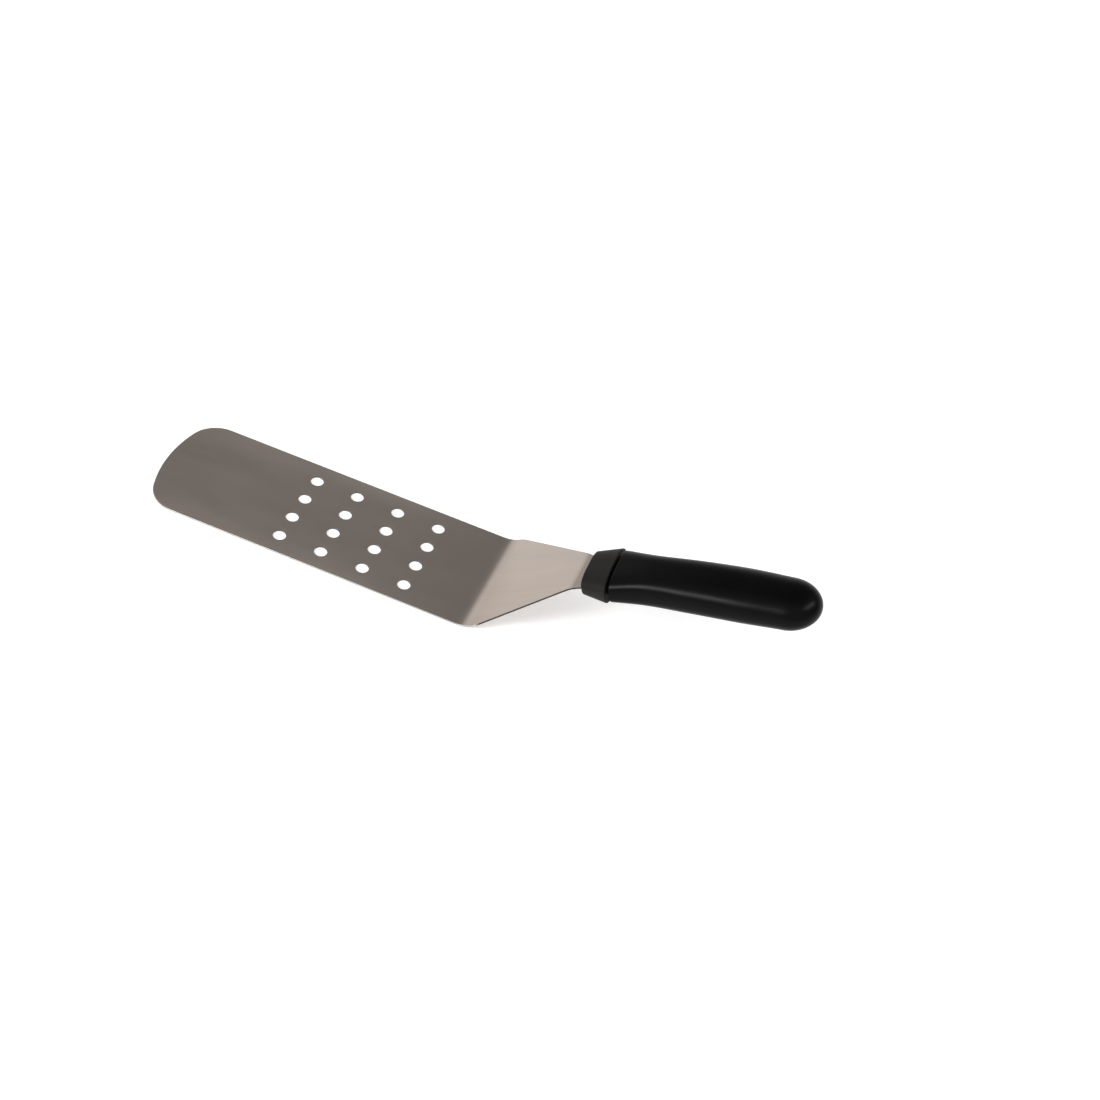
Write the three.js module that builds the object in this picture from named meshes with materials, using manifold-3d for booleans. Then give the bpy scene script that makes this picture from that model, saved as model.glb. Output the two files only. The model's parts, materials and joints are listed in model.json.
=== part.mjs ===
// Perforated cranked turner: one bent stainless sheet, its tang clamped in a moulded core,
// and a two-part black handle over the core.
// Millimetres, +Z up. The blade lies flat on z = 0, tip toward -X, handle toward +X.
import * as THREE from "three";
import Module from "manifold-3d";
import { mergeVertices } from "three/addons/utils/BufferGeometryUtils.js";
import { LoftGeometry } from "three/addons/geometries/LoftGeometry.js";

const wasm = await Module();
wasm.setup();

const { cos, sin, tan, sqrt, abs, PI } = Math;
const radians = THREE.MathUtils.degToRad;

// ---- driving dimensions ----

const SHEET = 1.0; // thickness of the stainless sheet
const BLADE_LENGTH = 200; // bend line to the tip
const BLADE_WIDTH = 75;
const TIP_RADIUS = 82; // bow of the front edge
const TIP_CORNER_RADIUS = 18.5;

const HOLE_DIAMETER = 7.5;
const HOLES_ALONG = 4;
const HOLES_ACROSS = 4;
const PITCH_ALONG = 25.4;
const PITCH_ACROSS = 16.5;
const GRID_TO_BEND = 79.4; // centre of the hole grid to the bend line

const NECK_RISE = radians(36.5);
const NECK_LENGTH = 59.4; // along the slope, first bend to second
const NECK_STRAIGHT = 7.6; // full-width strip above the bend, along the slope
const NECK_TAPER = radians(23.3); // each side, in the plane of the neck
const NECK_BLEND = 8; // length of the flare between the taper and the tang
const SHOULDER_BLEND = 2;
const FIRST_BEND_RADIUS = 17; // of the middle of the sheet
const SECOND_BEND_RADIUS = 12;

const HANDLE_RISE = radians(20.1);
const COLLAR_FRONT = 54; // bend line to the front of the collar, level
const HANDLE_BOW_RADIUS = 1050; // the handle's centre line bends down along this arc

const TANG_FRONT_WIDTH = 26; // where the tang enters the collar
const TANG_WIDTH = 18; // inside the core
const TANG_SHOULDER_AT = 3.5; // along the handle
const TANG_SHOULDER_RUN = 2;
const TANG_END = 88;

const COLLAR_LENGTH = 15.2;
const COLLAR_FACE = 5.5; // thickness of its front wall
const COLLAR_EDGE = 0.8; // rounding of its edges
const GROOVE = 1.4; // open groove between the collar and the grip
const GRIP_START = COLLAR_LENGTH + GROOVE;
const GRIP_WALL = 3;
const GRIP_EDGE = 0.7;
const BUTT_START = 111.4; // where the butt starts to close
const BUTT_LENGTH = 18;

const NOSE_HALF_WIDTH = 13.6; // the core's front end, plugged into the collar
const NOSE_HALF_HEIGHT = 4.4;
const CORE_END = 116;
const CORE_WALL = 2.2;
const POCKETS = [[22, 40], [54, 66], [80, 90], [94, 110]]; // hollows, along the handle
const RIVETS_AT = [47, 73];
const RIVET_DIAMETER = 4;
const RIVET_HEAD = 8;
const RIVET_HEAD_HEIGHT = 1.4;
const RIVET_REACH = 4.6; // middle of the tang to the outside of a head

const GAP = 0.3; // between pieces that touch

// Half width and half height of the handle at points along it, from the collar's front.
const COLLAR_SHAPE = [
  { at: 0, width: 14.7, height: 6.4 },
  { at: COLLAR_LENGTH, width: 18.9, height: 8.7 },
];
const GRIP_SHAPE = [
  { at: GRIP_START, width: 17.4, height: 8.4 },
  { at: 36, width: 15.3, height: 9.9 },
  { at: 60, width: 16.1, height: 10.6 },
  { at: 88, width: 16.9, height: 11 },
  { at: BUTT_START, width: 16.5, height: 10.9 },
];
const SQUARE_FRONT = 3; // exponent of the handle's section at the collar
const SQUARE_BUTT = 2.2; // the same at the butt

const CURVE_STEPS = 12;
const ROUND_STEPS = 24;
const SECTION_POINTS = 40;
const GRIP_STEPS = 14;
const EDGE_STEPS = 3;
const BUTT_STEPS = 8;
const BUTT_CLOSE = radians(84); // the butt's last section, short of a point
const LARGE = 400; // longer than anything that is cut
const WELD = 1e-4; // points closer than this are one point

// ---- solids ----

function solidOf(geometry) {
  const plain = new THREE.BufferGeometry();
  plain.setAttribute("position", geometry.getAttribute("position"));
  plain.setIndex(geometry.getIndex());
  const merged = mergeVertices(plain, WELD);
  return new wasm.Manifold(
    new wasm.Mesh({
      numProp: 3,
      vertProperties: new Float32Array(merged.attributes.position.array),
      triVerts: new Uint32Array(merged.index.array),
    }),
  );
}

function geometryOf(solid) {
  const { vertProperties, triVerts } = solid.getMesh();
  const geometry = new THREE.BufferGeometry();
  geometry.setAttribute("position", new THREE.BufferAttribute(vertProperties, 3));
  geometry.setIndex(new THREE.BufferAttribute(triVerts, 1));
  geometry.computeVertexNormals();
  return geometry;
}

function part(name, solid, material) {
  const mesh = new THREE.Mesh(geometryOf(solid), material);
  mesh.name = name;
  return mesh;
}

function box(low, high) {
  const size = new THREE.Vector3().subVectors(high, low);
  const middle = new THREE.Vector3().addVectors(low, high).multiplyScalar(0.5);
  const geometry = new THREE.BoxGeometry(size.x, size.y, size.z);
  return solidOf(geometry.translate(middle.x, middle.y, middle.z));
}

// A round bar along Z, from z = bottom to z = top.
function bar(diameter, x, bottom, top) {
  const geometry = new THREE.CylinderGeometry(diameter / 2, diameter / 2, top - bottom, ROUND_STEPS);
  geometry.rotateX(PI / 2);
  return solidOf(geometry.translate(x, 0, (bottom + top) / 2));
}

// ---- the bent sheet, in the blade's frame: bend line at x = 0 ----

// The middle of the sheet seen from the side, as points with the slope at each.
function sheetLine() {
  const turn = NECK_RISE - HANDLE_RISE;
  const firstTangent = FIRST_BEND_RADIUS * tan(NECK_RISE / 2);
  const secondTangent = SECOND_BEND_RADIUS * tan(turn / 2);
  const at = { x: -BLADE_LENGTH - SHEET, z: SHEET / 2, slope: 0 };
  const line = [{ ...at }];
  const straight = (length) => {
    at.x += length * cos(at.slope);
    at.z += length * sin(at.slope);
    line.push({ ...at });
  };
  const bend = (angle, radius) => {
    const step = angle / CURVE_STEPS;
    const chord = 2 * radius * sin(abs(step) / 2);
    for (let i = 0; i < CURVE_STEPS; i++) {
      at.x += chord * cos(at.slope + step / 2);
      at.z += chord * sin(at.slope + step / 2);
      at.slope += step;
      line.push({ ...at });
    }
  };
  straight(BLADE_LENGTH + SHEET - firstTangent);
  bend(NECK_RISE, FIRST_BEND_RADIUS);
  straight(NECK_LENGTH - firstTangent - secondTangent);
  bend(-turn, SECOND_BEND_RADIUS);
  straight(COLLAR_LENGTH + TANG_END);
  return line;
}

function sheetStrip() {
  const side = (offset) => ({ x, z, slope }) =>
    new THREE.Vector2(x - offset * sin(slope), z + offset * cos(slope));
  const line = sheetLine();
  const under = line.map(side(-SHEET / 2));
  const over = line.map(side(SHEET / 2)).reverse();
  const geometry = new THREE.ExtrudeGeometry(new THREE.Shape([...under, ...over]), {
    depth: BLADE_WIDTH + 2 * SHEET,
    bevelEnabled: false,
  });
  geometry.rotateX(PI / 2); // the side view's height turns up, its depth turns toward -Y
  return solidOf(geometry.translate(0, BLADE_WIDTH / 2 + SHEET, 0));
}

// Where the handle's frame starts: on the middle of the tang, at the front of the collar.
function handleOrigin() {
  const bendX = NECK_LENGTH * cos(NECK_RISE);
  const bendZ = SHEET / 2 + NECK_LENGTH * sin(NECK_RISE);
  return new THREE.Vector3(COLLAR_FRONT, 0, bendZ + (COLLAR_FRONT - bendX) * tan(HANDLE_RISE));
}

// The far half of the sheet's outline seen from above, from the tip to the end of the tang.
function halfOutline() {
  const half = BLADE_WIDTH / 2;
  const bowX = TIP_RADIUS - BLADE_LENGTH;
  const cornerY = half - TIP_CORNER_RADIUS;
  const cornerX = bowX - sqrt((TIP_RADIUS - TIP_CORNER_RADIUS) ** 2 - cornerY ** 2);
  const bowEnd = PI - Math.atan2(cornerY, bowX - cornerX);
  const shoulderX = NECK_STRAIGHT * cos(NECK_RISE);
  const taper = tan(NECK_TAPER) / cos(NECK_RISE);
  const onTaper = (x) => half - (x - shoulderX) * taper;
  const frontHalf = TANG_FRONT_WIDTH / 2;
  const neckX = shoulderX + (half - frontHalf) / taper;
  const tangHalf = TANG_WIDTH / 2;
  const alongHandle = (s) => COLLAR_FRONT + s * cos(HANDLE_RISE);

  const path = new THREE.Path();
  path.absarc(bowX, 0, TIP_RADIUS, PI, bowEnd, true);
  path.absarc(cornerX, cornerY, TIP_CORNER_RADIUS, bowEnd, PI / 2, true);
  path.lineTo(shoulderX - SHOULDER_BLEND, half);
  path.quadraticCurveTo(shoulderX, half, shoulderX + SHOULDER_BLEND, onTaper(shoulderX + SHOULDER_BLEND));
  path.lineTo(neckX - NECK_BLEND, onTaper(neckX - NECK_BLEND));
  path.quadraticCurveTo(neckX, frontHalf, neckX + NECK_BLEND / 2, frontHalf);
  path.lineTo(alongHandle(TANG_SHOULDER_AT), frontHalf);
  path.lineTo(alongHandle(TANG_SHOULDER_AT + TANG_SHOULDER_RUN), tangHalf);
  path.absarc(alongHandle(TANG_END) - tangHalf, 0, tangHalf, PI / 2, 0, true);
  return path.getPoints(CURVE_STEPS).filter((p, i, all) => i === 0 || p.distanceTo(all[i - 1]) > WELD);
}

function perforations() {
  const holes = [];
  for (let i = 0; i < HOLES_ALONG; i++) {
    for (let j = 0; j < HOLES_ACROSS; j++) {
      const x = (i - (HOLES_ALONG - 1) / 2) * PITCH_ALONG - GRID_TO_BEND;
      const y = (j - (HOLES_ACROSS - 1) / 2) * PITCH_ACROSS;
      const circle = new THREE.EllipseCurve(x, y, HOLE_DIAMETER / 2, HOLE_DIAMETER / 2);
      holes.push(new THREE.Path(circle.getPoints(ROUND_STEPS).slice(1)));
    }
  }
  return holes;
}

function sheetPlan() {
  const far = halfOutline();
  const near = far.slice(1, -1).reverse().map((p) => new THREE.Vector2(p.x, -p.y));
  const shape = new THREE.Shape([...far, ...near]);
  shape.holes.push(...perforations());
  const geometry = new THREE.ExtrudeGeometry(shape, { depth: LARGE, bevelEnabled: false });
  return solidOf(geometry.translate(0, 0, -LARGE / 2));
}

function bladeSolid(handlePlace) {
  let sheet = sheetPlan().intersect(sheetStrip());
  for (const at of RIVETS_AT) {
    const hole = bar(RIVET_DIAMETER + 2 * GAP, at, -RIVET_REACH, RIVET_REACH);
    sheet = sheet.subtract(hole.transform(handlePlace.elements));
  }
  return sheet;
}

// ---- the handle, in its own frame: x along the tang from the collar's front ----

// One cross-section of the handle, stood on its bowed centre line.
function section(at, halfWidth, halfHeight) {
  const lean = at / HANDLE_BOW_RADIUS;
  const middle = new THREE.Vector3(
    HANDLE_BOW_RADIUS * sin(lean),
    0,
    -HANDLE_BOW_RADIUS * (1 - cos(lean)),
  );
  const blend = THREE.MathUtils.clamp(at / BUTT_START, 0, 1);
  const power = THREE.MathUtils.lerp(SQUARE_FRONT, SQUARE_BUTT, blend);
  const points = [];
  for (let i = 0; i < SECTION_POINTS; i++) {
    const angle = (2 * PI * i) / SECTION_POINTS;
    const reach = (abs(cos(angle)) ** power + abs(sin(angle)) ** power) ** (-1 / power);
    const across = halfWidth * reach * cos(angle);
    const up = halfHeight * reach * sin(angle);
    points.push(new THREE.Vector3(middle.x + up * sin(lean), across, middle.z + up * cos(lean)));
  }
  return points;
}

// Smooth half width and half height at any distance within a shape's list.
function sizeAt(shape, at) {
  const curve = new THREE.SplineCurve(shape.map((p) => new THREE.Vector2(p.width, p.height)));
  const last = shape.length - 1;
  let i = 0;
  while (i < last - 1 && at > shape[i + 1].at) i++;
  const step = (at - shape[i].at) / (shape[i + 1].at - shape[i].at);
  const size = curve.getPoint(THREE.MathUtils.clamp((i + step) / last, 0, 1));
  return { width: size.x, height: size.y };
}

function loft(sections) {
  return solidOf(new LoftGeometry(sections, { capStart: true, capEnd: true }));
}

function spread(from, to, steps) {
  return Array.from({ length: steps + 1 }, (_, i) => THREE.MathUtils.lerp(from, to, i / steps));
}

// Sections that round an edge over: from the face inward when side is 1, out to the face when -1.
function edgeSections(shape, face, edge, side) {
  const turns = spread(0, PI / 2, EDGE_STEPS);
  const order = side > 0 ? turns : turns.reverse();
  return order.map((turn) => {
    const at = face + side * edge * (1 - cos(turn));
    const size = sizeAt(shape, at);
    const inset = edge * (1 - sin(turn));
    return section(at, size.width - inset, size.height - inset);
  });
}

// A solid that follows the grip's surface, drawn in by an inset.
function gripFiller(from, to, inset) {
  return loft(
    spread(from, to, GRIP_STEPS).map((at) => {
      const size = sizeAt(GRIP_SHAPE, at);
      return section(at, size.width - inset, size.height - inset);
    }),
  );
}

// A straight plug about the handle's centre line, the size of the core's nose plus a clearance.
function plug(from, to, clearance) {
  return loft(
    [from, to].map((at) => section(at, NOSE_HALF_WIDTH + clearance, NOSE_HALF_HEIGHT + clearance)),
  );
}

// A slab about the middle of the tang.
function tangSlab(from, to, halfWidth, halfThickness) {
  return box(
    new THREE.Vector3(from, -halfWidth, -halfThickness),
    new THREE.Vector3(to, halfWidth, halfThickness),
  );
}

function collarSolid() {
  const outer = loft([
    ...edgeSections(COLLAR_SHAPE, 0, COLLAR_EDGE, 1),
    ...edgeSections(COLLAR_SHAPE, COLLAR_LENGTH, COLLAR_EDGE, -1),
  ]);
  const slot = tangSlab(-COLLAR_LENGTH, COLLAR_LENGTH, TANG_FRONT_WIDTH / 2 + GAP, SHEET / 2 + GAP);
  const recess = plug(COLLAR_FACE, COLLAR_LENGTH + GROOVE, GAP);
  return outer.subtract(slot).subtract(recess);
}

function buttSections() {
  const start = GRIP_SHAPE.at(-1);
  return spread(0, BUTT_CLOSE, BUTT_STEPS).slice(1).map((turn) =>
    section(
      BUTT_START + BUTT_LENGTH * sin(turn),
      start.width * cos(turn),
      start.height * cos(turn),
    ),
  );
}

function gripSolid() {
  const body = spread(GRIP_START + GRIP_EDGE, BUTT_START, GRIP_STEPS).slice(1).map((at) => {
    const size = sizeAt(GRIP_SHAPE, at);
    return section(at, size.width, size.height);
  });
  const outer = loft([
    ...edgeSections(GRIP_SHAPE, GRIP_START, GRIP_EDGE, 1),
    ...body,
    ...buttSections(),
  ]);
  return outer.subtract(gripFiller(GRIP_START - GAP, CORE_END + GAP, GRIP_WALL));
}

// Half of the core: side is 1 above the tang and -1 below it.
function coreHalfSolid(side) {
  const nose = plug(COLLAR_FACE + GAP, GRIP_START + 2 * GAP, 0);
  const body = gripFiller(GRIP_START + GAP, CORE_END, GRIP_WALL + GAP);
  const hollow = gripFiller(GRIP_START + GAP, CORE_END, GRIP_WALL + GAP + CORE_WALL);
  const tangRoom = tangSlab(0, TANG_END + GAP, TANG_WIDTH / 2 + GAP, SHEET / 2 + GAP);
  let half = nose.add(body).subtract(tangRoom);
  for (const [from, to] of POCKETS) {
    half = half.subtract(hollow.intersect(tangSlab(from, to, LARGE, LARGE)));
  }
  for (const at of RIVETS_AT) {
    const seat = RIVET_REACH - RIVET_HEAD_HEIGHT - GAP;
    half = half.subtract(bar(RIVET_DIAMETER + 2 * GAP, at, -seat, seat));
    half = half.subtract(bar(RIVET_HEAD + 2 * GAP, at, seat, LARGE));
    half = half.subtract(bar(RIVET_HEAD + 2 * GAP, at, -LARGE, -seat));
  }
  const near = side > 0 ? GAP / 2 : -LARGE;
  const far = side > 0 ? LARGE : -GAP / 2;
  return half.intersect(
    box(new THREE.Vector3(-LARGE, -LARGE, near), new THREE.Vector3(LARGE, LARGE, far)),
  );
}

function rivetSolid() {
  const shank = RIVET_DIAMETER / 2;
  const head = RIVET_HEAD / 2;
  const under = RIVET_REACH - RIVET_HEAD_HEIGHT;
  const rim = RIVET_REACH - RIVET_HEAD_HEIGHT / 2;
  const above = [[shank, under], [head, under], [head, rim], [head - RIVET_HEAD_HEIGHT / 2, RIVET_REACH]];
  const below = above.map(([r, z]) => [r, -z]).reverse();
  const profile = [[0, -RIVET_REACH], ...below, ...above, [0, RIVET_REACH]];
  const geometry = new THREE.LatheGeometry(profile.map(([r, z]) => new THREE.Vector2(r, z)), ROUND_STEPS);
  return solidOf(geometry.rotateX(PI / 2));
}

// ---- looks ----

const steel = new THREE.MeshStandardMaterial({ color: 0x9d9892, roughness: 0.38, metalness: 0.95 });
const rivetSteel = new THREE.MeshStandardMaterial({ color: 0xa8a6a2, roughness: 0.35, metalness: 0.95 });
const collarBlack = new THREE.MeshStandardMaterial({ color: 0x2a2624, roughness: 0.62, metalness: 0 });
const gripBlack = new THREE.MeshStandardMaterial({ color: 0x0d0e0e, roughness: 0.45, metalness: 0 });
const coreBlack = new THREE.MeshStandardMaterial({ color: 0x161616, roughness: 0.7, metalness: 0 });

// ---- the assembly ----

const handle = new THREE.Group();
handle.name = "handle";
handle.rotation.y = -HANDLE_RISE;
handle.position.copy(handleOrigin());
handle.updateMatrix();

handle.add(part("front_collar", collarSolid(), collarBlack));
handle.add(part("grip", gripSolid(), gripBlack));
handle.add(part("core_upper_half", coreHalfSolid(1), coreBlack));
handle.add(part("core_lower_half", coreHalfSolid(-1), coreBlack));
["tang_rivet_front", "tang_rivet_rear"].forEach((name, i) => {
  const rivet = part(name, rivetSolid(), rivetSteel.clone());
  rivet.position.x = RIVETS_AT[i];
  handle.add(rivet);
});

const turner = new THREE.Group();
turner.name = "perforated_turner";
turner.add(part("blade", bladeSolid(handle.matrix), steel));
turner.add(handle);

// The middle of the whole length comes to x = 0.
const extent = new THREE.Box3().setFromObject(turner, true);
turner.position.x = -(extent.min.x + extent.max.x) / 2;

export default turner;
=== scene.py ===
"""Looks for the perforated cranked turner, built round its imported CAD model.

Metres, in the model's own frame: the blade lies flat on z = 0 with its tip toward -X, and the
handle rises toward +X. The sheet, the collar and the grip are rebuilt here with finer shapes;
the core and its rivets, inside the handle, stay as they are and get a finish.
"""

import bisect
import json
import math

import bmesh
import bpy
from mathutils import Matrix, Quaternion, Vector, geometry


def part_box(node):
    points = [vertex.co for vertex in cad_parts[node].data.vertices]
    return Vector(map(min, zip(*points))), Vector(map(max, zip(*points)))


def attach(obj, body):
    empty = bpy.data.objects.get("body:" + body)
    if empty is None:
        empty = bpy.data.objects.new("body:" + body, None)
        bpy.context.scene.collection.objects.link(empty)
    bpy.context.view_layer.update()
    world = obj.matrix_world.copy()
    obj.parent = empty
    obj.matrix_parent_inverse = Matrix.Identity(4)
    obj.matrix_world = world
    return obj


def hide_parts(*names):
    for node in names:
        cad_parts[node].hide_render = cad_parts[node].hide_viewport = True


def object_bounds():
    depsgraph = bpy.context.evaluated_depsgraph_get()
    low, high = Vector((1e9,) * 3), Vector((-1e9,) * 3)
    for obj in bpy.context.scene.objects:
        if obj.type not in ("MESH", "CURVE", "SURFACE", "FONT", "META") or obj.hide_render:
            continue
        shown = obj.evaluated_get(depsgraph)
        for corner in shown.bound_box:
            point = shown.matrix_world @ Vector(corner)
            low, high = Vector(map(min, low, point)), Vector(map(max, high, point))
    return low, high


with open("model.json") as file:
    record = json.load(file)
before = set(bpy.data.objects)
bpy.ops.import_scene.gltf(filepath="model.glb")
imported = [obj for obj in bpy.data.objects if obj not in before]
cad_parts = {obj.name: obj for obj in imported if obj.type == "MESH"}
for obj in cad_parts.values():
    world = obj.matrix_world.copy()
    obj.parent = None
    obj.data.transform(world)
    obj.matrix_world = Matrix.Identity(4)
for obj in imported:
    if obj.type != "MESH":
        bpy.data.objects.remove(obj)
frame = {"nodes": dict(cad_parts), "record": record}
cad_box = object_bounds()

# ---- what the frame says ----


def middle(low, high):
    return (Vector(low) + Vector(high)) / 2


mounts = {mount["name"]: Vector(mount["pos_m"]) for mount in frame["record"]["mounts"]}
holes = [middle(*opening["box_m"]) for opening in frame["record"]["physics"]["openings"]]
rivets = [middle(*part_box(name)) for name in ("tang_rivet_front", "tang_rivet_rear")]
blade_low, blade_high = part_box("blade")

SHEET = mounts["blade_top"].z - mounts["blade_underside"].z
TIP_X = blade_low.x
HALF_WIDTH = blade_high.y
GRID_TO_BEND = 0.0794  # middle of the holes, where the mounts are, to the bend line
BEND_X = mounts["blade_top"].x + GRID_TO_BEND
ALONG_TANG = (rivets[1] - rivets[0]).normalized()
HANDLE_RISE = math.atan2(ALONG_TANG.z, ALONG_TANG.x)
FRONT_RIVET_AT = 0.047  # along the handle, from the front of the collar
HANDLE_START = rivets[0] - FRONT_RIVET_AT * ALONG_TANG

# ---- sheet ----

TIP_RADIUS = 0.082
TIP_CORNER_RADIUS = 0.0185
HOLE_DIAMETER = 0.0075
RIVET_HOLE_DIAMETER = 0.0046
NECK_RISE = math.radians(36.5)
NECK_STRAIGHT = 0.0076
NECK_TAPER = math.radians(23.3)
NECK_BLEND = 0.008
SHOULDER_BLEND = 0.002
FIRST_BEND_RADIUS = 0.017
SECOND_BEND_RADIUS = 0.012
TANG_FRONT_WIDTH = 0.026
TANG_WIDTH = 0.018
TANG_SHOULDER_AT = 0.0035
TANG_SHOULDER_RUN = 0.002
TANG_END = 0.088
SHEET_EDGE = 0.00018  # rounding of the sheet's ground edges
SHEARED_FADE = 0.002  # length over which the ground edge turns into a sheared one
PUNCHED_SHEARED_AND_SHADE = 0.75  # share of a punched wall that is left as sheared and darkened with painted shade

# ---- handle, from the front of the collar ----

HANDLE_BOW_RADIUS = 1.05
COLLAR_LENGTH = 0.0152
COLLAR_FACE = 0.0055
COLLAR_EDGE = 0.0008
NOSE_HALF_WIDTH = 0.0139
NOSE_HALF_HEIGHT = 0.0047
GROOVE = 0.0014
GRIP_START = COLLAR_LENGTH + GROOVE
GRIP_WALL = 0.003
GRIP_EDGE = 0.0007
CAVITY_END = 0.1163  # of the hollow that the core fills
BUTT_START = 0.1114
BUTT_LENGTH = 0.018
BUTT_CLOSE = math.radians(84)  # the last section of the butt, short of a point
GAP = 0.0003
COLLAR_SHAPE = [(0, 0.0147, 0.0064), (COLLAR_LENGTH, 0.0189, 0.0087)]
GRIP_SHAPE = [
    (GRIP_START, 0.0174, 0.0084),
    (0.036, 0.0153, 0.0099),
    (0.060, 0.0161, 0.0106),
    (0.088, 0.0169, 0.0110),
    (BUTT_START, 0.0165, 0.0109),
]
SQUARE_FRONT = 3
SQUARE_BUTT = 2.2
SLOT_POWER = 16  # a section this square is a slot with small round corners

BEND_STEPS = 14
ARC_STEPS = 24
HOLE_STEPS = 48
EDGE_STEPS = 3
SECTION_POINTS = 96
BODY_STEPS = 48
BUTT_STEPS = 24
ON_CUT = 1e-7  # points closer than this to a cut lie on it
WELD = 5e-6  # points closer than this are one point


def spread(start, end, steps):
    """Evenly spaced values from start to end, both of them included."""
    return [start + (end - start) * i / steps for i in range(steps + 1)]


# ---- camera ----

VIEW_AZIMUTH = math.radians(10.88)
VIEW_ELEVATION = math.radians(45.05)
VIEW_ROLL = math.radians(13.59)
VIEW_DISTANCE = 1.1306
VIEW_AIM = Vector((BEND_X + 0.02368, 0.0306, 0.0119))
LENS = 65.45
SENSOR = 36


def add_camera():
    data = bpy.data.cameras.new("camera")
    data.lens = LENS
    data.sensor_width = SENSOR
    camera = bpy.data.objects.new("camera", data)
    bpy.context.scene.collection.objects.link(camera)
    back = Vector((
        math.sin(VIEW_AZIMUTH) * math.cos(VIEW_ELEVATION),
        -math.cos(VIEW_AZIMUTH) * math.cos(VIEW_ELEVATION),
        math.sin(VIEW_ELEVATION),
    ))
    camera.location = VIEW_AIM + VIEW_DISTANCE * back
    camera.rotation_mode = "QUATERNION"
    level = (-back).to_track_quat("-Z", "Y")
    camera.rotation_quaternion = level @ Quaternion((0, 0, 1), VIEW_ROLL)
    bpy.context.scene.camera = camera


# ---- mesh helpers ----


def new_piece(name, mesh, node, material):
    """Puts a finished mesh in the scene in place of a CAD node."""
    piece = bpy.data.objects.new(name, mesh)
    bpy.context.scene.collection.objects.link(piece)
    piece.data.materials.append(material)
    piece.data.shade_smooth()
    normals = piece.modifiers.new("even_shading", "WEIGHTED_NORMAL")
    normals.weight = 100
    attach(piece, "root")
    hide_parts(node)
    return piece


def bridge(bm, ring_a, ring_b):
    """Quads between two closed rings with the same number of vertices."""
    for i in range(len(ring_a)):
        j = i - 1
        bm.faces.new((ring_a[j], ring_a[i], ring_b[i], ring_b[j]))


# ---- the sheet ----


def go(line, length):
    """Carries the line straight on."""
    x, z, slope = line[-1]
    line.append((x + length * math.cos(slope), z + length * math.sin(slope), slope))


def turn(line, angle, radius):
    """Carries the line round a bend."""
    step = angle / BEND_STEPS
    chord = 2 * radius * math.sin(abs(step) / 2)
    for _ in range(BEND_STEPS):
        x, z, slope = line[-1]
        x += chord * math.cos(slope + step / 2)
        z += chord * math.sin(slope + step / 2)
        line.append((x, z, slope + step))


def sheet_line():
    """The middle of the sheet seen from the side: x, z and slope, from the tip to the tang."""
    turn_back = NECK_RISE - HANDLE_RISE
    rise_at_start = HANDLE_START.z - SHEET / 2 - (HANDLE_START.x - BEND_X) * math.tan(HANDLE_RISE)
    neck_level = rise_at_start / (math.tan(NECK_RISE) - math.tan(HANDLE_RISE))
    neck_length = neck_level / math.cos(NECK_RISE)
    first = FIRST_BEND_RADIUS * math.tan(NECK_RISE / 2)
    second = SECOND_BEND_RADIUS * math.tan(turn_back / 2)
    line = [(TIP_X - SHEET, SHEET / 2, 0)]
    go(line, BEND_X - TIP_X + SHEET - first)
    turn(line, NECK_RISE, FIRST_BEND_RADIUS)
    go(line, neck_length - first - second)
    turn(line, -turn_back, SECOND_BEND_RADIUS)
    go(line, COLLAR_LENGTH + TANG_END)
    return line


def on_sheet(line, stations, point):
    """Lifts a point of the flat plan, whose z is its height in the sheet, onto the bent sheet."""
    i = min(max(bisect.bisect(stations, point.x), 1), len(line) - 1)
    (x0, z0, slope0), (x1, z1, slope1) = line[i - 1], line[i]
    share = (point.x - x0) / (x1 - x0)
    slope = slope0 + (slope1 - slope0) * share
    z = z0 + (z1 - z0) * share
    return Vector((point.x - point.z * math.sin(slope), point.y, z + point.z * math.cos(slope)))


def arc(x, y, radius, start, end, steps=ARC_STEPS):
    return [
        Vector((x + radius * math.cos(angle), y + radius * math.sin(angle)))
        for angle in spread(start, end, steps)
    ]


def blend(start, corner, end):
    """A curve that rounds off a corner."""
    return [
        start.lerp(corner, share).lerp(corner.lerp(end, share), share)
        for share in spread(0, 1, ARC_STEPS // 2)
    ]


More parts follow.
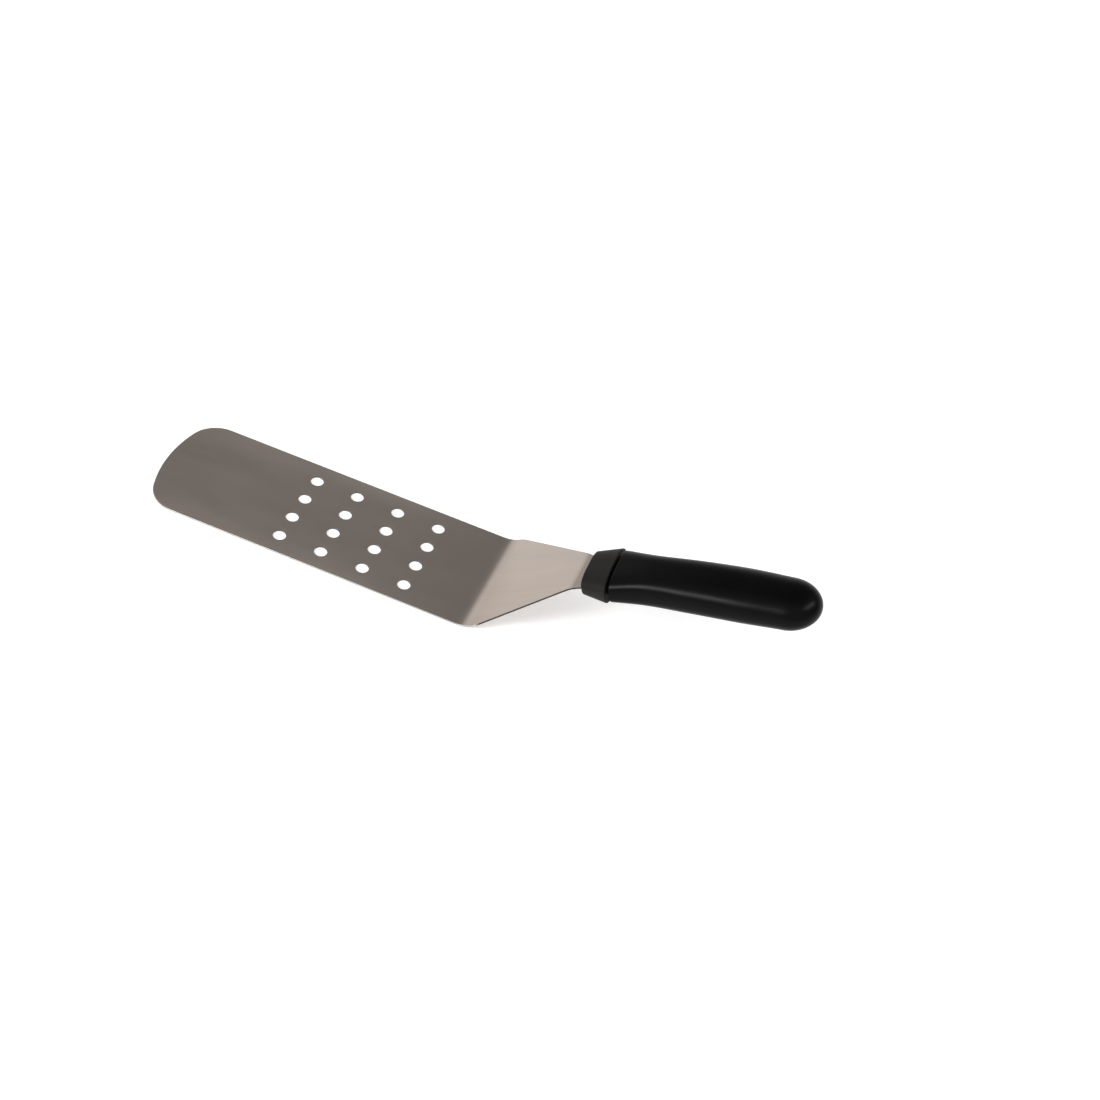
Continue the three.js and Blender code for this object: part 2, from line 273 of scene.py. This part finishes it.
def half_outline():
    """The far half of the sheet's outline from above, from the tip to the end of the tang."""
    bow_x = TIP_X + TIP_RADIUS
    corner_y = HALF_WIDTH - TIP_CORNER_RADIUS
    corner_x = bow_x - math.sqrt((TIP_RADIUS - TIP_CORNER_RADIUS) ** 2 - corner_y**2)
    bow_end = math.pi - math.atan2(corner_y, bow_x - corner_x)
    shoulder = Vector((BEND_X + NECK_STRAIGHT * math.cos(NECK_RISE), HALF_WIDTH))
    taper = math.tan(NECK_TAPER) / math.cos(NECK_RISE)
    front_half = TANG_FRONT_WIDTH / 2
    neck = Vector((shoulder.x + (HALF_WIDTH - front_half) / taper, front_half))
    tang_half = TANG_WIDTH / 2

    def on_taper(x):
        return Vector((x, HALF_WIDTH - (x - shoulder.x) * taper))

    def along(distance, y):
        return Vector((HANDLE_START.x + distance * math.cos(HANDLE_RISE), y))

    parts = [
        arc(bow_x, 0, TIP_RADIUS, math.pi, bow_end),
        arc(corner_x, corner_y, TIP_CORNER_RADIUS, bow_end, math.pi / 2)[1:],
        blend(
            Vector((shoulder.x - SHOULDER_BLEND, HALF_WIDTH)),
            shoulder,
            on_taper(shoulder.x + SHOULDER_BLEND),
        ),
        blend(on_taper(neck.x - NECK_BLEND), neck, neck + Vector((NECK_BLEND / 2, 0))),
        [along(TANG_SHOULDER_AT, front_half)],
        [along(TANG_SHOULDER_AT + TANG_SHOULDER_RUN, tang_half)],
        arc(along(TANG_END, 0).x - tang_half, 0, tang_half, math.pi / 2, 0),
    ]
    return [point for part in parts for point in part]


def sheet_loops():
    """The outline, clockwise, and the holes, anticlockwise: the sheet is right of each."""
    far = half_outline()
    near = [Vector((p.x, -p.y)) for p in reversed(far[1:-1])]
    loops = [far + near]
    for hole in holes:
        loops.append(arc(hole.x, hole.y, HOLE_DIAMETER / 2, 0, 2 * math.pi, HOLE_STEPS)[1:])
    for rivet in rivets:
        circle = arc(0, 0, RIVET_HOLE_DIAMETER / 2, 0, 2 * math.pi, HOLE_STEPS)[1:]
        loops.append([Vector((rivet.x + p.x * math.cos(HANDLE_RISE), p.y)) for p in circle])
    return loops


def neck_sheared_and_shade(point):
    """The blade's own edges are ground; past the shoulder they are left as sheared, and darkened with
    painted shade.
    """
    shoulder_x = BEND_X + NECK_STRAIGHT * math.cos(NECK_RISE)
    return min(max((point.x - shoulder_x) / SHEARED_FADE, 0.0), 1.0)


def hole_sheared_and_shade(point):
    """A punched wall is burnished by the punch in part, and the rest is torn and dull, and darkened
    with painted shade.
    """
    return PUNCHED_SHEARED_AND_SHADE


def edge_profile():
    """Inset and height of each ring round the sheet's edge, from the top face to the underside."""
    wall = SHEET / 2 - SHEET_EDGE
    turns = spread(math.pi / 2, 0, EDGE_STEPS)
    upper = [(SHEET_EDGE * (1 - math.cos(t)), wall + SHEET_EDGE * math.sin(t)) for t in turns]
    return upper + [(inset, -height) for inset, height in reversed(upper)]


def add_edge(bm, loop, sheared_at):
    """Rounded edge along one loop of the flat sheet. Returns its rings of vertices.

    The layers say where the edge is, and where it is a sheared one, not a ground one: rougher, and dark
    with painted shade.
    """
    rim = bm.verts.layers.float["rim"]
    sheared_and_shade = bm.verts.layers.float["sheared_and_shade"]
    outward = []
    for i, point in enumerate(loop):
        travel = loop[(i + 1) % len(loop)] - loop[i - 1]
        outward.append(Vector((-travel.y, travel.x)).normalized())
    rings = []
    profile = edge_profile()
    for k, (inset, height) in enumerate(profile):
        ring = []
        for point, out in zip(loop, outward):
            flat = point - inset * out
            vertex = bm.verts.new((flat.x, flat.y, height))
            vertex[rim] = 0.0 if k in (0, len(profile) - 1) else 1.0
            vertex[sheared_and_shade] = sheared_at(flat)
            ring.append(vertex)
        rings.append(ring)
    for above, below in zip(rings, rings[1:]):
        bridge(bm, above, below)
    return rings


def add_plates(bm, edges):
    """The flat top face and underside, each between the innermost rings of the edges."""
    for side in (0, -1):
        rings = [edge[side] for edge in edges]
        corners = [vertex for ring in rings for vertex in ring]
        outlines = [[vertex.co.to_2d().to_3d() for vertex in ring] for ring in rings]
        for triangle in geometry.tessellate_polygon(outlines):
            bm.faces.new([corners[i] for i in triangle])


def keep_flat_places(bm):
    """Keeps each place on the flat sheet as a UV, which the brushed grain follows."""
    uv = bm.loops.layers.uv.new("flat")
    for face in bm.faces:
        for loop in face.loops:
            place = loop.vert.co
            loop[uv].uv = (place.x, place.y + place.z)


def bend_sheet(bm):
    """Cuts the flat sheet across at each step of its bends, and lifts it onto its bent line."""
    line = sheet_line()
    stations = [x for x, _, _ in line]
    for x in stations[1:-1]:
        everything = bm.verts[:] + bm.edges[:] + bm.faces[:]
        bmesh.ops.bisect_plane(bm, geom=everything, plane_co=(x, 0, 0), plane_no=(1, 0, 0), dist=ON_CUT)
    bmesh.ops.remove_doubles(bm, verts=bm.verts, dist=WELD)
    keep_flat_places(bm)
    for vertex in bm.verts:
        vertex.co = on_sheet(line, stations, vertex.co)


def build_blade(material):
    bm = bmesh.new()
    bm.verts.layers.float.new("rim")
    bm.verts.layers.float.new("sheared_and_shade")
    outline, *cut_outs = sheet_loops()
    edges = [add_edge(bm, outline, neck_sheared_and_shade)]
    edges += [add_edge(bm, loop, hole_sheared_and_shade) for loop in cut_outs]
    add_plates(bm, edges)
    bend_sheet(bm)
    bmesh.ops.recalc_face_normals(bm, faces=bm.faces)
    mesh = bpy.data.meshes.new("blade_sheet")
    bm.to_mesh(mesh)
    bm.free()
    return new_piece("blade_sheet", mesh, "blade", material)


# ---- the handle ----


def handle_matrix():
    """From the handle's own axes, along it, across it and up, to the model's."""
    across = Vector((0, 1, 0))
    rows = (ALONG_TANG, across, ALONG_TANG.cross(across))
    return Matrix.Translation(HANDLE_START) @ Matrix(rows).transposed().to_4x4()


def section(at, half_width, half_height, power=None):
    """One closed ring of the handle, standing on its bowed centre line."""
    lean = at / HANDLE_BOW_RADIUS
    centre_x = HANDLE_BOW_RADIUS * math.sin(lean)
    centre_z = HANDLE_BOW_RADIUS * (math.cos(lean) - 1)
    if power is None:
        share = min(max(at / BUTT_START, 0), 1)
        power = SQUARE_FRONT + (SQUARE_BUTT - SQUARE_FRONT) * share
    ring = []
    for i in range(SECTION_POINTS):
        angle = 2 * math.pi * i / SECTION_POINTS
        c, s = math.cos(angle), math.sin(angle)
        reach = (abs(c) ** power + abs(s) ** power) ** (-1 / power)
        up = half_height * reach * s
        ring.append(Vector((
            centre_x + up * math.sin(lean),
            half_width * reach * c,
            centre_z + up * math.cos(lean),
        )))
    return ring


def station_slope(shape, i, k):
    """Slope of column k of a shape at its station i: level at the last station of several."""
    last = len(shape) - 1
    if i == last > 1:
        return 0
    before, after = shape[max(i - 1, 0)], shape[min(i + 1, last)]
    return (after[k] - before[k]) / (after[0] - before[0])


def size_at(shape, at):
    """Half width and half height of the smooth shape through its stations."""
    i = 0
    while i < len(shape) - 2 and at > shape[i + 1][0]:
        i += 1
    length = shape[i + 1][0] - shape[i][0]
    t = (at - shape[i][0]) / length
    return [
        (2 * t**3 - 3 * t**2 + 1) * shape[i][k]
        + (t**3 - 2 * t**2 + t) * length * station_slope(shape, i, k)
        + (3 * t**2 - 2 * t**3) * shape[i + 1][k]
        + (t**3 - t**2) * length * station_slope(shape, i + 1, k)
        for k in (1, 2)
    ]


def edge_rings(shape, face, edge, side):
    """Rings that round an edge over: inward from the face if side is 1, out to it if -1."""
    rings = []
    for angle in spread(0, math.pi / 2, 2 * EDGE_STEPS)[::side]:
        at = face + side * edge * (1 - math.cos(angle))
        width, height = size_at(shape, at)
        inset = edge * (1 - math.sin(angle))
        rings.append(section(at, width - inset, height - inset))
    return rings


def loft(name, rings, closed):
    """A mesh through rings of points: a closed tube, or capped at both ends."""
    bm = bmesh.new()
    place = handle_matrix()
    made = [[bm.verts.new(place @ point) for point in ring] for ring in rings]
    pairs = list(zip(made, made[1:]))
    if closed:
        pairs.append((made[-1], made[0]))
    for ring_a, ring_b in pairs:
        bridge(bm, ring_a, ring_b)
    if not closed:
        for ring in (made[0], made[-1]):
            pole = bm.verts.new(sum((vertex.co for vertex in ring), Vector()) / len(ring))
            for i in range(len(ring)):
                bm.faces.new((ring[i - 1], ring[i], pole))
    bmesh.ops.recalc_face_normals(bm, faces=bm.faces)
    mesh = bpy.data.meshes.new(name)
    bm.to_mesh(mesh)
    bm.free()
    return mesh


def build_collar(material):
    slot_half_width = TANG_FRONT_WIDTH / 2 + GAP
    slot_half_height = SHEET / 2 + GAP
    rings = edge_rings(COLLAR_SHAPE, 0, COLLAR_EDGE, 1)
    rings += edge_rings(COLLAR_SHAPE, COLLAR_LENGTH, COLLAR_EDGE, -1)
    rings.append(section(COLLAR_LENGTH, NOSE_HALF_WIDTH, NOSE_HALF_HEIGHT, SQUARE_FRONT))
    rings.append(section(COLLAR_FACE, NOSE_HALF_WIDTH, NOSE_HALF_HEIGHT, SQUARE_FRONT))
    rings.append(section(COLLAR_FACE, slot_half_width, slot_half_height, SLOT_POWER))
    rings.append(section(0, slot_half_width, slot_half_height, SLOT_POWER))
    mesh = loft("collar_moulding", rings, closed=True)
    return new_piece("collar_moulding", mesh, "front_collar", material)


def build_grip(material):
    rings = []
    for at in spread(CAVITY_END, GRIP_START, BODY_STEPS):
        width, height = size_at(GRIP_SHAPE, at)
        rings.append(section(at, width - GRIP_WALL, height - GRIP_WALL))
    rings += edge_rings(GRIP_SHAPE, GRIP_START, GRIP_EDGE, 1)
    for at in spread(GRIP_START + GRIP_EDGE, BUTT_START, BODY_STEPS)[1:]:
        rings.append(section(at, *size_at(GRIP_SHAPE, at)))
    _, end_width, end_height = GRIP_SHAPE[-1]
    for angle in spread(0, BUTT_CLOSE, BUTT_STEPS)[1:]:
        at = BUTT_START + BUTT_LENGTH * math.sin(angle)
        rings.append(section(at, end_width * math.cos(angle), end_height * math.cos(angle)))
    mesh = loft("grip_moulding", rings, closed=False)
    return new_piece("grip_moulding", mesh, "grip", material)


# ---- node helpers ----


def new_material(name):
    material = bpy.data.materials.new(name)
    material.use_nodes = True
    return material, material.node_tree, material.node_tree.nodes["Principled BSDF"]


def add_node(tree, kind, inputs=None, **settings):
    """A node with its settings, and with each input linked to a socket or set to a value."""
    node = tree.nodes.new(kind)
    for key, value in settings.items():
        setattr(node, key, value)
    for name, value in (inputs or {}).items():
        if isinstance(value, bpy.types.NodeSocket):
            tree.links.new(value, node.inputs[name])
        else:
            node.inputs[name].default_value = value
    return node


def set_surface(tree, shader, colour, rough, normal):
    tree.links.new(colour, shader.inputs["Base Color"])
    tree.links.new(rough, shader.inputs["Roughness"])
    tree.links.new(normal, shader.inputs["Normal"])


def noise(tree, vector, cells, detail=3, roughness=0.55):
    """Noise in 0 to 1, with so many cells a metre along each axis."""
    mapping = add_node(tree, "ShaderNodeMapping", {"Vector": vector, "Scale": cells})
    texture = add_node(
        tree,
        "ShaderNodeTexNoise",
        {"Vector": mapping.outputs[0], "Scale": 1, "Detail": detail, "Roughness": roughness},
    )
    return texture.outputs["Fac"]


def between(tree, factor, low, high, from_low=0.3, from_high=0.7):
    """A value from low to high as the factor crosses its range, which for noise is the default."""
    node = add_node(
        tree,
        "ShaderNodeMapRange",
        {"Value": factor, "From Min": from_low, "From Max": from_high, "To Min": low, "To Max": high},
    )
    return node.outputs["Result"]


def maths(tree, operation, a, b=0.0):
    return add_node(tree, "ShaderNodeMath", {0: a, 1: b}, operation=operation).outputs[0]


def blended(tree, a, b, share):
    """The given share of a, and the rest of b."""
    return maths(
        tree, "ADD", maths(tree, "MULTIPLY", a, share), maths(tree, "MULTIPLY", b, 1 - share)
    )


def mix_colour(tree, factor, a, b):
    """Colour a where the factor is 0 and b where it is 1: inputs 0, 6 and 7, and output 2."""
    return add_node(tree, "ShaderNodeMix", {0: factor, 6: a, 7: b}, data_type="RGBA").outputs[2]


def bump(tree, height, distance):
    return add_node(tree, "ShaderNodeBump", {"Height": height, "Distance": distance}).outputs[0]


# ---- steel ----

STEEL_LIGHT = (0.57, 0.492, 0.435, 1)
STEEL_DARK = (0.49, 0.422, 0.373, 1)
# colour of the painted sheen that lightens the blade towards its long edges and tip, in place of a
# reflection
STEEL_PAINTED_SHEEN = (0.71, 0.615, 0.545, 1)
EDGE_GROUND = (0.44, 0.44, 0.435, 1)
# sheared edges and hole walls: rougher steel, and this near-black colour is painted shade
SHEARED_EDGE_AND_SHADE = (0.08, 0.072, 0.067, 1)
EDGE_COVER = 0.85  # how fully the edge's colour covers the sheet's
FINE_GRAIN = (30, 5200, 1)  # cells a metre along the sheet and across it
BROAD_GRAIN = (7, 900, 1)
CLOUDS = (16, 60, 1)
BRUSH_DEPTH = 0.000012
SHEEN_MIDDLE = 0.3  # painted sheen along the middle of the blade, where 1 is at its long edges
SHEEN_TIP = 0.6  # the same along the tip
SHEEN_FADE = 0.06  # length over which it grows or fades, from the tip and to the bend
GRAIN_FINE_SHARE = 0.6
TONE_GRAIN_SHARE = 0.6
GRAIN_ROUGH = (0.29, 0.36)
CLOUD_ROUGH = (-0.02, 0.02)
EDGE_ROUGHER = 0.1
SHEARED_ROUGHER = 0.3
BRUSH_STREAKING = 0.6
BRUSH_TURN = 0.25  # a quarter turn: highlights spread across the brushing


def painted_sheen(tree, flat):
    """How far painted sheen brightens the blade's colour in place of its reflection: most along its
    long edges, less at the tip and bend.
    """
    place = add_node(tree, "ShaderNodeSeparateXYZ", {0: flat})
    aside = maths(tree, "ABSOLUTE", maths(tree, "DIVIDE", place.outputs["Y"], HALF_WIDTH))
    across = between(tree, maths(tree, "POWER", aside, 3), SHEEN_MIDDLE, 1, 0, 1)
    near_tip = between(tree, place.outputs["X"], SHEEN_TIP, 1, TIP_X, TIP_X + SHEEN_FADE)
    near_bend = between(tree, place.outputs["X"], 1, 0, BEND_X - SHEEN_FADE, BEND_X)
    return maths(tree, "MULTIPLY", across, maths(tree, "MULTIPLY", near_tip, near_bend))


def steel_material():
    """Stainless sheet brushed along its length, with edges ground a neutral grey."""
    material, tree, shader = new_material("brushed_steel")
    flat = add_node(tree, "ShaderNodeUVMap", uv_map="flat").outputs[0]
    rim = add_node(tree, "ShaderNodeAttribute", attribute_name="rim").outputs["Fac"]
    sheared_and_shade = add_node(tree, "ShaderNodeAttribute", attribute_name="sheared_and_shade").outputs["Fac"]
    # where painted shade darkens the sheared edges and hole walls, which are rougher as well
    dark_edge = maths(tree, "MULTIPLY", rim, sheared_and_shade)
    fine = noise(tree, flat, FINE_GRAIN, detail=2)
    broad = noise(tree, flat, BROAD_GRAIN, detail=3)
    cloud = noise(tree, flat, CLOUDS, detail=2)
    grain = blended(tree, fine, broad, GRAIN_FINE_SHARE)
    tone = blended(tree, grain, cloud, TONE_GRAIN_SHARE)
    colour = mix_colour(tree, between(tree, tone, 0, 1), STEEL_LIGHT, STEEL_DARK)
    # painted sheen: the blade lighter towards its long edges and tip, a reflection painted into the
    # colour
    colour = mix_colour(tree, painted_sheen(tree, flat), colour, STEEL_PAINTED_SHEEN)
    colour = mix_colour(tree, maths(tree, "MULTIPLY", rim, EDGE_COVER), colour, EDGE_GROUND)
    # painted shade: the sheared edges and hole walls turned near-black
    colour = mix_colour(tree, dark_edge, colour, SHEARED_EDGE_AND_SHADE)
    rough = maths(tree, "ADD", between(tree, grain, *GRAIN_ROUGH), between(tree, cloud, *CLOUD_ROUGH))
    rough = maths(tree, "ADD", rough, maths(tree, "MULTIPLY", rim, EDGE_ROUGHER))
    rough = maths(tree, "ADD", rough, maths(tree, "MULTIPLY", dark_edge, SHEARED_ROUGHER))
    set_surface(tree, shader, colour, rough, bump(tree, grain, BRUSH_DEPTH))
    tangent = add_node(tree, "ShaderNodeTangent", direction_type="UV_MAP", uv_map="flat")
    tree.links.new(tangent.outputs[0], shader.inputs["Tangent"])
    shader.inputs["Metallic"].default_value = 1
    shader.inputs["Anisotropic"].default_value = BRUSH_STREAKING
    shader.inputs["Anisotropic Rotation"].default_value = BRUSH_TURN
    return material


# ---- plastic and rivets ----

MOULD_GRAIN = (2600, 2600, 2600)  # cells a metre
MOTTLE = (90, 90, 90)
POLISH = (28, 28, 28)
RIVET_LIGHT = (0.6, 0.59, 0.575, 1)
RIVET_DARK = (0.48, 0.47, 0.455, 1)
TURNED_RINGS = 9000  # cells a metre of radius
TURNED_DEPTH = 0.00001
TURNED_ROUGH = (0.28, 0.4)


def plastic_material(name, dark, light, rough, grain_depth, specular=0.5):
    """Moulded plastic: fine eroded grain, faint mottling, and a polish that varies."""
    material, tree, shader = new_material(name)
    place = add_node(tree, "ShaderNodeTexCoord").outputs["Object"]
    grain = noise(tree, place, MOULD_GRAIN, detail=2)
    mottle = noise(tree, place, MOTTLE, detail=3)
    polish = noise(tree, place, POLISH, detail=2)
    set_surface(
        tree,
        shader,
        mix_colour(tree, between(tree, mottle, 0, 1), dark, light),
        between(tree, polish, *rough),
        bump(tree, grain, grain_depth),
    )
    shader.inputs["Specular IOR Level"].default_value = specular
    return material


def collar_plastic():
    return plastic_material(
        "collar_plastic",
        dark=(0.0055, 0.0048, 0.0042, 1),
        light=(0.0085, 0.0075, 0.0067, 1),
        rough=(0.46, 0.56),
        grain_depth=0.00003,
        specular=0.16,
    )


def grip_plastic():
    return plastic_material(
        "grip_plastic",
        dark=(0.0008, 0.0009, 0.0008, 1),
        light=(0.0014, 0.0015, 0.0014, 1),
        rough=(0.27, 0.34),
        grain_depth=0.00002,
        specular=0.08,
    )


def core_nylon():
    return plastic_material(
        "core_nylon",
        dark=(0.006, 0.006, 0.006, 1),
        light=(0.014, 0.014, 0.013, 1),
        rough=(0.5, 0.7),
        grain_depth=0.00004,
    )


def rivet_material(rivet):
    """Turned steel: fine rings about the rivet's own axis."""
    material, tree, shader = new_material("turned_steel")
    place = add_node(tree, "ShaderNodeTexCoord").outputs["Object"]
    centred = add_node(
        tree,
        "ShaderNodeMapping",
        {"Vector": place, "Location": rivet, "Rotation": (0, -HANDLE_RISE, 0)},
        vector_type="TEXTURE",
    ).outputs[0]
    flat = add_node(
        tree, "ShaderNodeVectorMath", {0: centred, 1: (1, 1, 0)}, operation="MULTIPLY"
    ).outputs[0]
    radius = add_node(tree, "ShaderNodeVectorMath", {0: flat}, operation="LENGTH").outputs["Value"]
    rings = add_node(
        tree,
        "ShaderNodeTexNoise",
        {"W": maths(tree, "MULTIPLY", radius, TURNED_RINGS), "Scale": 1},
        noise_dimensions="1D",
    ).outputs["Fac"]
    colour = mix_colour(tree, between(tree, rings, 0, 1), RIVET_DARK, RIVET_LIGHT)
    rough = between(tree, rings, *TURNED_ROUGH)
    set_surface(tree, shader, colour, rough, bump(tree, rings, TURNED_DEPTH))
    shader.inputs["Metallic"].default_value = 1
    return material


def finish_node(name, material):
    node = frame["nodes"][name]
    if not node.material_slots:
        node.data.materials.append(material)
    for slot in node.material_slots:
        slot.material = material


def finish_core():
    """The core halves and rivets keep their CAD shapes and get moulded and turned finishes."""
    core = core_nylon()
    for name in ("core_upper_half", "core_lower_half"):
        finish_node(name, core)
    for name, rivet in zip(("tang_rivet_front", "tang_rivet_rear"), rivets):
        finish_node(name, rivet_material(rivet))


# ---- studio ----

FLOOR_SIZE = 30
FLOOR_GAP = 0.0001  # keeps the floor clear of the blade's underside
FLOOR_DARK = (0.86, 0.86, 0.86, 1)
FLOOR_LIGHT = (0.88, 0.88, 0.88, 1)
FLOOR_MOTTLE = (3, 3, 3)  # cells a metre
FLOOR_GLOW = 0.4  # the table is lit through from below as well
BRIGHT_LEVEL = 0.86  # of the studio's walls
DARK_LEVEL = 0.185  # of the card that hangs high behind the object
CARD_EDGES = {"X": (-0.59, -0.53), "Y": (-0.3, 0.3), "Z": (0.1, 0.3)}  # where each soft edge lies


def add_floor():
    material, tree, shader = new_material("pale_floor")
    place = add_node(tree, "ShaderNodeTexCoord").outputs["Object"]
    mottle = noise(tree, place, FLOOR_MOTTLE, detail=2)
    colour = mix_colour(tree, between(tree, mottle, 0, 1), FLOOR_DARK, FLOOR_LIGHT)
    tree.links.new(colour, shader.inputs["Base Color"])
    shader.inputs["Roughness"].default_value = 0.9
    shader.inputs["Specular IOR Level"].default_value = 0.1
    tree.links.new(colour, shader.inputs["Emission Color"])
    shader.inputs["Emission Strength"].default_value = FLOOR_GLOW
    mesh = bpy.data.meshes.new("floor")
    bm = bmesh.new()
    bmesh.ops.create_grid(bm, x_segments=4, y_segments=4, size=FLOOR_SIZE / 2)
    bm.to_mesh(mesh)
    bm.free()
    floor = bpy.data.objects.new("floor", mesh)
    floor.location.z = cad_box[0].z - FLOOR_GAP
    mesh.materials.append(material)
    bpy.context.scene.collection.objects.link(floor)


def add_area_light(name, direction, distance, size, power, roll=0):
    """A lit panel that faces the handle from some direction, turned by roll about its axis."""
    data = bpy.data.lights.new(name, "AREA")
    data.shape = "RECTANGLE"
    data.size, data.size_y = size
    data.energy = power
    light = bpy.data.objects.new(name, data)
    light.location = HANDLE_START + distance * direction
    light.rotation_mode = "QUATERNION"
    facing = (-direction).to_track_quat("-Z", "Y")
    light.rotation_quaternion = facing @ Quaternion((0, 0, 1), roll)
    bpy.context.scene.collection.objects.link(light)


def add_world():
    """Bright walls all round, with the dark card between its edges along X, Y and Z."""
    world = bpy.data.worlds.new("studio")
    bpy.context.scene.world = world
    world.use_nodes = True
    tree = world.node_tree
    background = tree.nodes["Background"]
    direction = add_node(tree, "ShaderNodeTexCoord").outputs["Generated"]
    split = add_node(tree, "ShaderNodeSeparateXYZ", {0: direction})
    card = 1.0
    for axis, (start, end) in CARD_EDGES.items():
        card = maths(tree, "MULTIPLY", between(tree, split.outputs[axis], 0, 1, start, end), card)
    level = between(tree, card, BRIGHT_LEVEL, DARK_LEVEL, 0, 1)
    tree.links.new(level, background.inputs["Strength"])
    background.inputs["Color"].default_value = (1, 1, 1, 1)


def add_lights():
    add_area_light(
        "key", direction=Vector((-0.5, -0.66, 0.56)), distance=1.9, size=(0.45, 0.8), power=21
    )
    add_area_light(
        "strip",
        direction=Vector((0.59, 0.25, 0.77)),
        distance=1.8,
        size=(1.2, 0.15),
        power=8,
        roll=math.radians(-38),
    )


# ---- scene ----

add_camera()
add_world()
add_lights()
add_floor()

build_blade(steel_material())
build_collar(collar_plastic())
build_grip(grip_plastic())
finish_core()

bpy.context.scene.view_settings.view_transform = "Standard"

bpy.context.view_layer.update()
